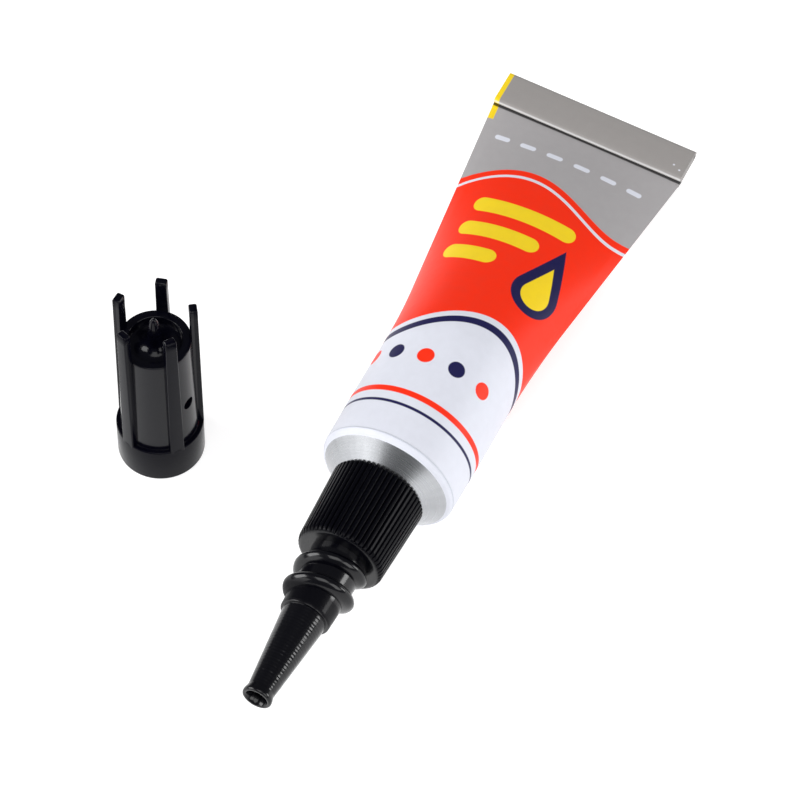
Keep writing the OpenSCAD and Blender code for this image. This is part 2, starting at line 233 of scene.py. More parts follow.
class Look:
    """A material that is being painted."""

    def __init__(self, name):
        self.material = bpy.data.materials.new(name)
        self.material.use_nodes = True
        self.tree = self.material.node_tree
        self.tree.nodes.clear()

    def make(self, kind, settings, values):
        node = self.tree.nodes.new(kind)
        for key, value in settings.items():
            setattr(node, key, value)
        for key, value in values.items():
            if isinstance(value, Wire):
                self.tree.links.new(value.socket, node.inputs[key])
            else:
                node.inputs[key].default_value = value
        return node

    def wire(self, node, output=0):
        return Wire(self, node.outputs[output])

    def place(self):
        """The piece's own place in the part's frame, in millimetres, as three numbers."""
        node = self.make("ShaderNodeTexCoord", {}, {})
        split = self.make("ShaderNodeSeparateXYZ", {}, {0: self.wire(node, "Object")})
        return [self.wire(split, i) * (1 / MM) for i in range(3)]

    def unrolled(self):
        """Distance round and along the piece's surface, in millimetres."""
        node = self.make("ShaderNodeUVMap", {"uv_map": "unrolled"}, {})
        split = self.make("ShaderNodeSeparateXYZ", {}, {0: self.wire(node)})
        return self.wire(split, 0), self.wire(split, 1)

    def point(self, x, y, z):
        return self.wire(self.make("ShaderNodeCombineXYZ", {}, {0: x, 1: y, 2: z}))

    def noise(self, point, scale, detail=3.0, roughness=0.5):
        node = self.make(
            "ShaderNodeTexNoise", {},
            {"Vector": point, "Scale": scale, "Detail": detail, "Roughness": roughness},
        )
        return self.wire(node, 0)

    def mix(self, share, first, second):
        """A colour that goes from the first to the second."""
        values = {0: share}
        for key, colour in ((6, first), (7, second)):
            values[key] = colour if isinstance(colour, Wire) else (*colour, 1.0)
        node = self.make("ShaderNodeMix", {"data_type": "RGBA"}, values)
        return self.wire(node, 2)

    def bump(self, height, depth_mm):
        node = self.make(
            "ShaderNodeBump", {},
            {"Height": height, "Strength": 1.0, "Distance": depth_mm * MM},
        )
        return self.wire(node, 0)

    def plain(self, **values):
        """A principled shader with these sockets."""
        named = {key.replace("_", " "): value for key, value in values.items()}
        return self.wire(self.make("ShaderNodeBsdfPrincipled", {}, named))

    def done(self, shader):
        self.make("ShaderNodeOutputMaterial", {}, {"Surface": shader})
        return self.material


# Shapes


def skin_faces(rows, columns):
    """Quads over a grid of points, row after row, where each row is joined round."""
    faces = []
    for row in range(rows - 1):
        for column in range(columns):
            after = (column + 1) % columns
            faces.append((
                row * columns + column, row * columns + after,
                (row + 1) * columns + after, (row + 1) * columns + column,
            ))
    return faces


def rod_faces(rows, columns):
    """Quads along the sides of a rod and one face over each of its ends."""
    sides = [face[::-1] for face in skin_faces(rows, columns)]
    last = (rows - 1) * columns
    first_end = tuple(range(columns))
    last_end = tuple(last + column for column in range(columns - 1, -1, -1))
    return sides + [first_end, last_end]


def make_piece(name, points, faces, material, body, sharp, unrolled=None):
    """A smooth mesh on a body, its points in millimetres. Edges past the angle sharp stay sharp."""
    mesh = bpy.data.meshes.new(name)
    mesh.from_pydata((np.asarray(points, float) * MM).tolist(), [], faces)
    mesh.polygons.foreach_set("use_smooth", [True] * len(mesh.polygons))
    mesh.set_sharp_from_angle(angle=math.radians(sharp))
    if unrolled is not None:
        layer = mesh.uv_layers.new(name="unrolled")
        layer.data.foreach_set("uv", np.asarray(unrolled, float).ravel())
    mesh.materials.append(material)
    mesh.update()
    piece = bpy.data.objects.new(name, mesh)
    bpy.context.scene.collection.objects.link(piece)
    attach(piece, body)
    return piece


def grid_unrolled(rows, columns, around, along):
    """Distances round and along at each face corner of a grid whose rows are joined round."""
    corners = []
    for row in range(rows - 1):
        for column in range(columns):
            for r, c in ((row, column), (row, column + 1), (row + 1, column + 1), (row + 1, column)):
                corners.append((around[c], along[r]))
    return corners


def on_tube(up, side, ahead):
    """Points of the part's frame from the tube's own axes."""
    up, side, ahead = np.broadcast_arrays(up, side, ahead)
    return np.stack([SHOULDER_X - ahead, AXIS_Y + side, TUBE_R + up], axis=-1)


def on_cap(radius, angle, height):
    """Points of the part's frame from a radius, angle and height on the cap."""
    radius, angle, height = np.broadcast_arrays(radius, angle, height)
    return np.stack([CAP_X + radius * np.cos(angle), CAP_Y + radius * np.sin(angle), height], axis=-1)


def turned(outline, columns, place):
    """Grid of points for an outline of (radius, height) pairs turned round an axis."""
    angle = np.linspace(0, 2 * math.pi, columns, endpoint=False)
    outline = np.asarray(outline, float)
    return place(outline[:, :1], angle[None, :], outline[:, 1:]).reshape(-1, 3)


def round_spout(radius, angle, ahead):
    """Points of the part's frame round the tube's axis."""
    return on_tube(radius * np.cos(angle), radius * np.sin(angle), ahead)


def arc(centre, radius, start, end, steps):
    """Pairs of numbers round a centre, from a start to an end angle in degrees."""
    turns = np.radians(np.linspace(start, end, steps + 1))
    return [(centre[0] + radius * math.cos(t), centre[1] + radius * math.sin(t)) for t in turns]


def ease(x):
    """A smooth step from 0 to 1."""
    x = np.clip(x, 0, 1)
    return x * x * (3 - 2 * x)


# Paints


def band(value, low, high):
    """1 between low and high and 0 outside them."""
    return value.rises(low - CRISP, low + CRISP) * value.falls(high - CRISP, high + CRISP)


def bar(around, along, ends, at, thick):
    """A round-ended bar across the tube, or a dot if it is as wide as it is thick."""
    middle = (ends[0] + ends[1]) / 2
    reach = abs(ends[1] - ends[0]) / 2 - thick / 2
    beyond = (abs(around - middle) - reach).most(0.0)
    off = ((beyond ** 2.0) + ((along - at) ** 2.0)) ** 0.5
    return off.falls(thick / 2 - CRISP, thick / 2 + CRISP)


def drop(around, along, place, radius):
    """A drop that points towards the tail."""
    slope, foot, steepness, taper = 0.42, 1.085, 0.92, 0.38
    across = abs(around - place[0])
    up = along - place[1]
    ball = ((across ** 2.0) + (up ** 2.0)) ** 0.5
    tip = (across + up * slope - radius * foot) * steepness
    cone = tip.most(taper * radius - up)
    return ball.least(cone + radius).falls(radius - CRISP, radius + CRISP)


def wavy_edge(turn, middle, height, phase):
    """A line round the tube that waves twice in a turn."""
    return middle + height * (turn * 2.0 + phase).sin()


def printed_design(look, around, along, turn):
    """White front, red middle and grey tail, with dots, lines, bars, a drop and a dashed row."""
    from_front = along - wavy_edge(turn, middle=14.6, height=1.7, phase=0.5)
    from_tail = along - wavy_edge(turn, middle=34.2, height=1.5, phase=2.3)
    colour = look.mix(from_front.rises(-CRISP, CRISP), WHITE, RED)
    colour = look.mix(from_tail.rises(-CRISP, CRISP), colour, GREY)
    colour = look.mix(band(from_front, -1.5, -0.7), colour, NAVY)
    colour = look.mix(band(from_tail, -1.1, -0.75), colour, WHITE)

    bars_start, bar_thick = -6.4, 1.9
    for at, bar_end in ((30.0, 4.6), (26.6, 2.2), (23.2, -0.6)):
        colour = look.mix(bar(around, along, (bars_start, bar_end), at, bar_thick), colour, YELLOW)
    for at, radius, paint in ((21.6, 2.55, NAVY), (21.5, 1.55, YELLOW)):
        colour = look.mix(drop(around, along, (4.6, at), radius), colour, paint)

    dots, first_dot, dot_pitch, dot_r, dots_at = 5, -7.0, 3.1, 0.8, 9.3
    for step in range(dots):
        middle = first_dot + dot_pitch * step
        dot = bar(around, along, (middle - dot_r, middle + dot_r), dots_at, 2 * dot_r)
        colour = look.mix(dot, colour, NAVY if step % 2 else RED)
    colour = look.mix(band(along, 4.6, 5.2), colour, RED)
    colour = look.mix(band(along, 3.4, 3.7), colour, NAVY)

    dashes, first_dash, dash_pitch, dashes_at = 6, -7.6, 2.9, 38.8
    dash_half, dash_thick = 0.85, 0.55
    for step in range(dashes):
        middle = first_dash + dash_pitch * step
        dash = bar(around, along, (middle - dash_half, middle + dash_half), dashes_at, dash_thick)
        colour = look.mix(dash, colour, WHITE)
    return colour


def tail_marks(look, colour, around, along, x, y):
    """The folded strip's grey, two specks, the yellow mark on its corner, a painted highlight along its
    nose and painted shadow under the nose.
    """
    nose = BODY_LEN + 7.1
    speck_half, speck_thick = 0.1, 0.17
    colour = look.mix(along.rises(BODY_LEN + 0.05, BODY_LEN + 0.15), colour, STRIP_GREY)
    for middle, at in ((8.4, nose - 0.9), (9.1, nose - 0.55)):
        speck = bar(around, along, (middle - speck_half, middle + speck_half), at, speck_thick)
        colour = look.mix(speck, colour, WHITE)
    back = x - (SHOULDER_X + BODY_LEN)
    narrower = (-back).most(0.0) * 0.10
    corner = (y + narrower).rises(AXIS_Y + TAIL_HALF - 0.66, AXIS_Y + TAIL_HALF - 0.58)
    colour = look.mix(corner * back.rises(-2.0, -1.85), colour, YELLOW)
    # Painted highlight: a pale line along the rounded front of the strip's nose.
    colour = look.mix(band(along, nose + 0.17, nose + 0.29) * 0.6, colour, (0.92, 0.92, 0.92))
    # Painted shadow on the underside of the nose and the layer beneath it.
    colour = look.mix(band(along, nose + 0.36, nose + 1.0) * 0.9, colour, SHADOW)
    # Painted shadow on the skin under the nose and just in front of it.
    return look.mix(band(along, BODY_LEN - 0.44, BODY_LEN) * 0.85, colour, SHADOW)


def spun_metal(look, turn, along):
    """Bare aluminium with the rings of its turning and faint rays across them."""
    ray_spread, quarter_turn = 7.0, 1.57
    rings = look.noise(look.point(along * 9.0, turn * 0.15, 0.0), 1.0, 4.0, 0.65)
    aside = turn.sin() * ray_spread
    above = (turn + quarter_turn).sin() * ray_spread
    rays = look.noise(look.point(along * 0.25, aside, above), 1.0, 3.0)
    return look.plain(
        Base_Color=look.mix(rings * 0.4 + rays * 0.5, (0.55, 0.56, 0.58), (0.33, 0.34, 0.36)),
        Metallic=1.0,
        Roughness=0.22 + rings * 0.12,
        Anisotropic=0.45,
        Normal=look.bump(rings * 0.6 + rays * 0.4, 0.012),
    )


def printed_lacquer():
    """Print on the tube, a fine groove round its front with painted shade along it, and bare metal from
    the rolled edge on.
    """
    look = Look("printed_lacquer")
    around, along = look.unrolled()
    x, y, z = look.place()
    turn = around * (2 * math.pi / GIRTH)
    colour = printed_design(look, around, along, turn)
    colour = tail_marks(look, colour, around, along, x, y)
    # Painted shade along the fine groove round the front; the groove's dent itself is the bump further
    # down.
    front_groove_shade = band(along, 0.12, 0.18)
    colour = look.mix(front_groove_shade * 0.55, colour, (0.30, 0.36, 0.42))
    grain = look.noise(look.point(x, y, z), 1.1, 4.0)
    fine = look.noise(look.point(x, y, z), 14.0, 3.0)
    colour = look.mix((grain - 0.5) * 0.10 + 0.03, colour, (0.10, 0.09, 0.09))
    print_shader = look.plain(
        Base_Color=colour,
        Roughness=0.42 + (fine - 0.5) * 0.10,
        Specular_IOR_Level=0.16,
        Normal=look.bump(grain * 0.7 + fine * 0.05 - band(along, 0.07, 0.23) * 2.0, 0.02),
    )
    bare = along.falls(-0.62, -0.55)
    return look.done(look.wire(look.make(
        "ShaderNodeMixShader", {}, {0: bare, 1: print_shader, 2: spun_metal(look, turn, along)},
    )))


def satin_aluminium():
    """Bare aluminium of the neck."""
    look = Look("satin_aluminium")
    x, y, z = look.place()
    grain = look.noise(look.point(x * 3.0, y * 3.0, z * 3.0), 1.0, 4.0)
    return look.done(look.plain(
        Base_Color=look.mix(grain, (0.56, 0.57, 0.59), (0.36, 0.37, 0.39)),
        Metallic=1.0,
        Roughness=0.30 + grain * 0.10,
        Normal=look.bump(grain, 0.01),
    ))


def black_nozzle_plastic():
    """Black plastic, half gloss from the skirt's end on, but for a duller band before the step."""
    look = Look("black_nozzle_plastic")
    x, y, z = look.place()
    ahead = SHOULDER_X - x
    grain = look.noise(look.point(x, y, z), 6.0, 4.0)
    rings = look.noise(look.point(x * 9.0, y * 0.3, z * 0.3), 1.0, 3.0)
    thread_past = SKIRT_END + 4.6
    dull = ahead.rises(thread_past, thread_past + 0.4) * ahead.falls(STEP_AT - 0.1, STEP_AT)
    polished = ahead.rises(SKIRT_END - 0.12, SKIRT_END - 0.02) * (1.0 - dull)
    return look.done(look.plain(
        Base_Color=look.mix(grain, (0.0008, 0.0008, 0.0018), (0.002, 0.002, 0.004)),
        Roughness=0.30 + dull * 0.12 + (grain - 0.5) * 0.12,
        Specular_IOR_Level=0.08,
        Coat_Weight=polished * 0.55 + dull * 0.10,
        Coat_Roughness=0.13,
        Normal=look.bump(grain * 0.5 + rings * 0.5, 0.012),
    ))


def black_cap_plastic():
    """Black plastic with faint lines across it, and a gloss coat on the panels between the ribs."""
    look = Look("black_cap_plastic")
    x, y, z = look.place()
    grain = look.noise(look.point(x, y, z), 5.0, 4.0)
    lines = look.noise(look.point(x * 0.4, y * 0.4, z * 8.0), 1.0, 3.0, 0.6)
    reach = (((x - CAP_X) ** 2.0) + ((y - CAP_Y) ** 2.0)) ** 0.5
    panel = reach.falls(CAP_BASE_R + 0.02, CAP_BASE_R + 0.06)
    return look.done(look.plain(
        Base_Color=look.mix(grain, (0.0008, 0.0008, 0.002), (0.002, 0.002, 0.006)),
        Roughness=0.17 + (grain - 0.5) * 0.12 + lines * 0.08,
        Specular_IOR_Level=0.08,
        Coat_Weight=panel * 0.24,
        Coat_Roughness=0.10,
        Normal=look.bump(grain * 0.3 + lines * 0.7, 0.012),
    ))


def clear_glue():
    """Glue inside the tube, a little cloudy."""
    look = Look("clear_glue")
    x, y, z = look.place()
    cloud = look.noise(look.point(x, y, z), 0.6, 2.0)
    return look.done(look.plain(
        Base_Color=look.mix(cloud, (0.80, 0.84, 0.85), (0.88, 0.90, 0.90)),
        Roughness=0.06 + cloud * 0.04,
        Coat_Weight=0.4,
    ))


def sealing_latex():
    """Sealing compound inside the tail."""
    look = Look("sealing_latex")
    x, y, z = look.place()
    cloud = look.noise(look.point(x, y, z), 1.5, 3.0)
    return look.done(look.plain(
        Base_Color=look.mix(cloud, (0.74, 0.68, 0.50), (0.82, 0.77, 0.60)),
        Roughness=0.55 + cloud * 0.1,
    ))


def studio_floor():
    """White surface that glows like a light table."""
    look = Look("studio_floor")
    x, y, z = look.place()
    cloud = look.noise(look.point(x, y, z), 0.02, 2.0)
    return look.done(look.plain(
        Base_Color=look.mix(cloud, (0.54, 0.54, 0.54), (0.56, 0.56, 0.56)),
        Roughness=0.7 + cloud * 0.1,
        Specular_IOR_Level=0.2,
        Emission_Color=(1.0, 1.0, 1.0, 1.0),
        Emission_Strength=0.70,
    ))


# Tube


def pressed_flat(along):
    """How far the body is pressed flat at a share of the taper's length."""
    along = np.asarray(along, float)
    half = TAPER_EASE / 2
    return np.where(along < TAPER_EASE, along ** 2 / (4 * half), along - half) / (1 - half)


def tail_laid(up, side, share):
    """The tail is turned a little about the axis and sags a little, in step with the pressing."""
    turn = TAIL_TURN * share
    return (
        up * math.cos(turn) + side * math.sin(turn) - TAIL_SAG * share,
        side * math.cos(turn) - up * math.sin(turn),
    )


def body_ring(share, radius, half_thick, columns):
    """One ring of the body from the underside round, as up and side."""
    angle = (90 + 360 * np.arange(columns) / columns) % 360
    turn = np.radians(angle)
    edge_slope = 5
    press = np.clip(edge_slope * np.sin(turn), -1, 1)
    across = np.abs(angle - 180) / 90 - 1
    up = -(radius * np.sin(turn) * (1 - share) + half_thick * press * share)
    side = radius * np.cos(turn) * (1 - share) + TAIL_HALF * across * share
    return tail_laid(up, side, share)


def shoulder_outline():
    """Rolled edge and shoulder as (radius, ahead), and the point that the rolled edge starts from."""
    edge_rings, cone_rings = 10, 24
    bend = math.pi / 2 - SHOULDER_ANGLE
    edge_r = TUBE_R - DRAFT
    start = DRAFT * math.tan(SHOULDER_ANGLE) - CORNER_R * math.tan(bend / 2)
    outline = []
    for turn in np.linspace(0, bend, edge_rings):
        outline.append((edge_r - CORNER_R * (1 - math.cos(turn)), start + CORNER_R * math.sin(turn)))
    for radius in np.linspace(outline[-1][0] - 0.05, NECK_R - 0.25, cone_rings):
        outline.append((radius, (TUBE_R - radius) * math.tan(SHOULDER_ANGLE)))
    return outline, (edge_r, start)


def tube_skin(material):
    """Body, rolled edge and shoulder in one skin."""
    columns = 240
    taper_rings = 90
    rows = []
    along = []
    for share in np.linspace(1, 0, taper_rings):
        back = ROUND_LEN + share * (BODY_LEN - ROUND_LEN)
        up, side = body_ring(float(pressed_flat(share)), TUBE_R, PLY / 2, columns)
        rows.append((up, side, -back))
        along.append(back)
    for back in (9.0, 7.0, 6.0, DRAFT_LEN, 4.0, 3.0, 2.0, 1.0):
        up, side = body_ring(0.0, TUBE_R - DRAFT * max(0, 1 - back / DRAFT_LEN), 0, columns)
        rows.append((up, side, -back))
        along.append(back)
    outline, last = shoulder_outline()
    path = -last[1]
    for radius, ahead in outline:
        path -= math.hypot(radius - last[0], ahead - last[1])
        last = (radius, ahead)
        up, side = body_ring(0.0, radius, 0, columns)
        rows.append((up, side, ahead))
        along.append(path)
    points = np.concatenate([on_tube(up, side, ahead) for up, side, ahead in rows])
    around = (np.arange(columns + 1) / columns - 0.5) * -GIRTH
    faces = [face[::-1] for face in skin_faces(len(rows), columns)]
    corners = np.array(grid_unrolled(len(rows), columns, around, along)).reshape(-1, 4, 2)[:, ::-1]
    piece = make_piece(
        "tube_skin", points, faces, material, "tube", sharp=30, unrolled=corners,
    )
    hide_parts("tube_shell")


def fold_line():
    """Middle line of the folded wall as (up, ahead), from the body to the end tucked inside."""
    front = -BODY_LEN
    straight = front - 1.0
    turn_at = front - FOLD_W + LAYER_STEP + PLY / 2
    line = [(0.0, front + FOLD_LAP), (0.0, straight), (0.0, turn_at)]
    line += arc((LAYER_STEP, turn_at), LAYER_STEP, 180, 360, 14)[1:]
    line += [(2 * LAYER_STEP, straight), (2 * LAYER_STEP, front)]
    line += arc((1.5 * LAYER_STEP, front), LAYER_STEP / 2, 0, 180, 12)[1:]
    line += [(LAYER_STEP, straight), (LAYER_STEP, turn_at + 0.2)]
    return np.array(line)


def tail_fold(material):
    """The tail's wall, folded over twice, as one thick strip."""
    rows = 41
    line = fold_line()
    heading = np.gradient(line, axis=0)
    heading /= np.linalg.norm(heading, axis=1)[:, None]
    normal = np.stack([-heading[:, 1], heading[:, 0]], axis=1)
    outline = np.concatenate([line + normal * PLY / 2, (line - normal * PLY / 2)[::-1]])
    travel = np.concatenate([[0], np.cumsum(np.linalg.norm(np.diff(line, axis=0), axis=1))])
    along = BODY_LEN - FOLD_LAP + np.concatenate([travel, travel[::-1]])
    sides = np.linspace(-TAIL_HALF + FOLD_INSET, TAIL_HALF - FOLD_INSET, rows)
    points = np.concatenate([
        on_tube(*tail_laid(outline[:, 0], side, 1.0), outline[:, 1]) for side in sides
    ])
    count = len(outline)
    faces = skin_faces(rows, count)
    along = np.append(along, along[0])
    corners = [(-side, back) for back, side in grid_unrolled(rows, count, along, sides)]
    for row, flip in ((0, False), (rows - 1, True)):
        for i in range(count // 2 - 1):
            face = [row * count + k for k in (i, i + 1, count - 2 - i, count - 1 - i)]
            faces.append(tuple(face if flip else face[::-1]))
            corners += [(-sides[row], BODY_LEN + 1)] * 4
    piece = make_piece(
        "tail_fold", points, faces, material, "tube", sharp=40, unrolled=corners,
    )
    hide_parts("tube_shell")


def threaded_neck(material):
    """Neck with its screw thread and the pierced membrane, hidden under the nozzle."""
    columns = 96
    row_step = 0.09
    flank, fade_len = 0.3, 0.8
    dent_r = 1.2
    root_r = NECK_R - NECK_THREAD_H
    thread_end = NECK_TOP - 0.5
    inside = NECK_TOP - MEMBRANE_T
    angle = np.linspace(0, 2 * math.pi, columns, endpoint=False)
    rows = []
    for ahead in np.arange(NECK_ROOT - 0.35, NECK_TOP - 0.6, row_step):
        phase = (ahead / NECK_PITCH - angle / (2 * math.pi)) % 1
        crest = ease((0.5 - np.abs(phase - 0.5)) / flank)
        fade = ease((thread_end - ahead) / fade_len)
        rows.append((NECK_R - NECK_THREAD_H * (1 - crest * fade), ahead))
    for radius, ahead in (
        (root_r, thread_end), (root_r, NECK_TOP - 0.22), (NECK_R - 0.5, NECK_TOP),
        (dent_r, NECK_TOP), (PIERCE_R, NECK_TOP - 0.03), (PIERCE_R, inside), (NECK_BORE_R, inside),
        (NECK_BORE_R, NECK_ROOT - 0.3),
    ):
        rows.append((np.full(columns, radius), ahead))
    points = np.concatenate([round_spout(radius, angle, ahead) for radius, ahead in rows])
    faces = skin_faces(len(rows), columns)
    piece = make_piece("threaded_neck", points, faces, material, "tube", sharp=35)
    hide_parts("tube_shell")


# Nozzle


def fluted_skirt(material):
    """Skirt with its fine flutes and its rolled end."""
    columns_per_flute, side_rings, round_rings = 12, 48, 10
    columns = FLUTES * columns_per_flute
    groove_at, groove_half = 0.7, 0.26
    fade_from, fade_over = 15, 50
    angle = np.linspace(0, 2 * math.pi, columns, endpoint=False)
    off = (angle * FLUTES / (2 * math.pi)) % 1 - groove_at
    groove = np.where(np.abs(off) < groove_half, 0.5 + 0.5 * np.cos(math.pi * off / groove_half), 0)
    hollow = (SKIRT_BASE_R - SOCKET_R) * math.tan(SHOULDER_ANGLE)
    draft = (SKIRT_BASE_R - SKIRT_END_R) / (SKIRT_END - SKIRT_START)
    rows = [
        (SOCKET_R, SKIRT_START + hollow, 0.0), (SKIRT_BASE_R - 0.35, SKIRT_START + 0.28, 0.0),
        (SKIRT_BASE_R - 0.05, SKIRT_START + 0.01, 1.0), (SKIRT_BASE_R - 0.01, SKIRT_START + 0.06, 1.0),
    ]
    for ahead in np.linspace(SKIRT_START + 0.2, SKIRT_END - SKIRT_ROUND, side_rings):
        rows.append((SKIRT_BASE_R - draft * (ahead - SKIRT_START), ahead, 1.0))
    centre_r, centre_at = SKIRT_END_R - SKIRT_ROUND, SKIRT_END - SKIRT_ROUND
    for degrees in np.linspace(8, 90, round_rings):
        turn = math.radians(degrees)
        depth = float(1 - ease((degrees - fade_from) / fade_over))
        rows.append((
            centre_r + SKIRT_ROUND * math.cos(turn), centre_at + SKIRT_ROUND * math.sin(turn), depth,
        ))
    rows += [(THREAD_ROOT_R + 0.45, SKIRT_END, 0.0), (THREAD_ROOT_R - 0.1, SKIRT_END, 0.0)]
    points = np.concatenate([
        round_spout(radius - FLUTE_DEPTH * groove * depth, angle, ahead) for radius, ahead, depth in rows
    ])
    faces = skin_faces(len(rows), columns)
    piece = make_piece("fluted_skirt", points, faces, material, "nozzle", sharp=50)
    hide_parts("nozzle")


def slender_spout(material):
    """Spout with its step, finely ridged cone and flared lip, and all that is hollow inside it."""
    columns = 112
    band_rings, cone_rings = 24, 190
    rough, keep, wave_h, wave_len = 0.003, 0.6, 0.0035, 0.31
    calm_first, calm_last = 6, 8
    chance = np.random.RandomState(7)
    outline = [(THREAD_ROOT_R, SKIRT_END - 0.5)]
    for ahead in np.linspace(SKIRT_END, STEP_AT - 0.1, band_rings):
        share = (ahead - SKIRT_END) / (STEP_AT - SKIRT_END)
        outline.append((THREAD_ROOT_R + (BAND_R - THREAD_ROOT_R) * share, ahead))
    outline += [(BAND_R - 0.03, STEP_AT - 0.03), (BAND_R - 0.1, STEP_AT), (CONE_BASE_R + 0.03, STEP_AT)]
    ridge = 0.0
    for i, ahead in enumerate(np.linspace(STEP_AT + 0.03, CONE_END, cone_rings)):
        share = (ahead - STEP_AT) / (CONE_END - STEP_AT)
        ridge = keep * ridge + rough * chance.uniform(-1, 1)
        calm = min(1.0, i / calm_first, (cone_rings - 1 - i) / calm_last)
        wave = wave_h * math.sin(2 * math.pi * ahead / wave_len)
        outline.append((CONE_BASE_R + (CONE_TIP_R - CONE_BASE_R) * share + (ridge + wave) * calm, ahead))
    outline += [
        (CONE_TIP_R + 0.02, CONE_END + 0.15), (LIP_R - 0.02, TIP_AT - 0.45), (LIP_R, TIP_AT - 0.36),
        (LIP_R, TIP_AT - 0.16), (LIP_R - 0.05, TIP_AT - 0.05), (LIP_R - 0.14, TIP_AT),
        (LIP_R - 0.26, TIP_AT), (LIP_R - 0.33, TIP_AT - 0.04), (OUTLET_R + 0.22, TIP_AT - 0.3),
        (OUTLET_R + 0.08, TIP_AT - 0.6), (OUTLET_R, TIP_AT - 1.0), (OUTLET_R, TIP_AT - OUTLET_LEN),
        (CHANNEL_R, SOCKET_END + CHANNEL_R), (NECK_BORE_R, SOCKET_END), (SOCKET_R, SOCKET_END),
        (SOCKET_R, SKIRT_START + 0.9),
    ]
    points = turned(outline, columns, round_spout)
    faces = skin_faces(len(outline), columns)
    piece = make_piece("slender_spout", points, faces, material, "nozzle", sharp=40)
    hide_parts("nozzle")


def cap_thread(material):
    """Round bead that winds up the spout and takes the cap."""
    steps = 150
    fade_turns, faded_height, faded_width = 0.2, 0.35, 0.55
    foot_r = THREAD_ROOT_R - 0.3
    bead_half = 0.30 * THREAD_PITCH
    profile = [(0.0, 1.0), (0.25, 0.93), (0.55, 0.76), (0.82, 0.5), (0.96, 0.22), (1.0, 0.0)]
    profile += [(height, -width) for height, width in profile[-2::-1]]
    points = []
    for i in range(steps + 1):
        turns = THREAD_TURNS * i / steps
        angle = THREAD_START + 2 * math.pi * turns
        ahead = SKIRT_END + THREAD_LEAD + THREAD_PITCH * turns
        full = float(ease(min(turns, THREAD_TURNS - turns) / fade_turns))
        crest_r = foot_r + (THREAD_R - foot_r) * (faded_height + (1 - faded_height) * full)
        half = bead_half * (faded_width + (1 - faded_width) * full)
        for height, width in profile:
            radius = foot_r + (crest_r - foot_r) * height
            points.append(round_spout(radius, angle, ahead + half * width))
    faces = rod_faces(steps + 1, len(profile))
    piece = make_piece("cap_thread", points, faces, material, "nozzle", sharp=60)
    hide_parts("nozzle")


# Cap


def spike_outline(inner_r):
    """Crown's floor, the spike on it and the crown's underside, as (radius, height)."""
    axis_r = 0.0005
    recess_r = 1.53
    spike_rings = 16
    spike_foot = CROWN_FLOOR + 0.8
    recess_top = CROWN_FLOOR - 0.35
    hollow_top = CROWN_FLOOR - CAP_WALL
    outline = [
        (inner_r, CROWN_FLOOR + 0.25), (inner_r - 0.08, CROWN_FLOOR + 0.06),
        (inner_r - 0.3, CROWN_FLOOR), (SPIKE_R + 0.75, CROWN_FLOOR + 0.12),
        (SPIKE_R + 0.25, CROWN_FLOOR + 0.38), (SPIKE_R, spike_foot),
    ]
    for turn in np.radians(np.linspace(6, 88, spike_rings)):
        height = spike_foot + (SPIKE_TOP - spike_foot) * math.sin(turn)
        outline.append((SPIKE_R * math.cos(turn) ** 0.9, height))
    outline += [(axis_r, SPIKE_TOP), (axis_r, recess_top), (recess_r, recess_top)]
    return outline + [(recess_r + 0.2, hollow_top), (inner_r - 0.2, hollow_top)]


def cap_shell(material):
    """Collar, tapered body, rim, crown with its spike, and the hollow inside."""
    columns = 144
    body_rings = 24
    foot_round, collar_round, rim_round = 0.16, 0.12, 0.1
    inner_r = CAP_RIM_R - CAP_WALL
    outline = [(CAP_SOCKET_R, 0.08), (CAP_SOCKET_R + 0.06, 0.0), (COLLAR_R - foot_round, 0.0)]
    outline += arc((COLLAR_R - foot_round, foot_round), foot_round, -75, 0, 5)
    outline += arc((COLLAR_R - collar_round, COLLAR_H - collar_round), collar_round, 0, 90, 5)
    outline += [(CAP_BASE_R + 0.08, COLLAR_H), (CAP_BASE_R, COLLAR_H + 0.07)]
    for height in np.linspace(COLLAR_H + 0.4, RIM_H - 0.2, body_rings):
        share = (height - COLLAR_H) / (RIM_H - COLLAR_H)
        outline.append((CAP_BASE_R + (CAP_RIM_R - CAP_BASE_R) * share, height))
    outline += arc((CAP_RIM_R - rim_round, RIM_H - rim_round), rim_round, 0, 90, 4)
    outline += arc((inner_r + rim_round, RIM_H - rim_round), rim_round, 90, 180, 4)
    outline += spike_outline(inner_r)
    outline += [
        (CAP_BASE_R - CAP_WALL, COLLAR_H + CAP_WALL), (CAP_SOCKET_R, COLLAR_H - CAP_WALL / 2),
        (CAP_SOCKET_R, 2.0),
    ]
    points = turned(outline, columns, on_cap)
    faces = skin_faces(len(outline), columns)
    last = (len(outline) - 1) * columns
    for column in range(columns):
        after = (column + 1) % columns
        faces.append((last + column, last + after, after, column))
    piece = make_piece("cap_shell", points, faces, material, "cap", sharp=CAP_SHARP)
    cut_vent(piece)
    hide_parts("cap")


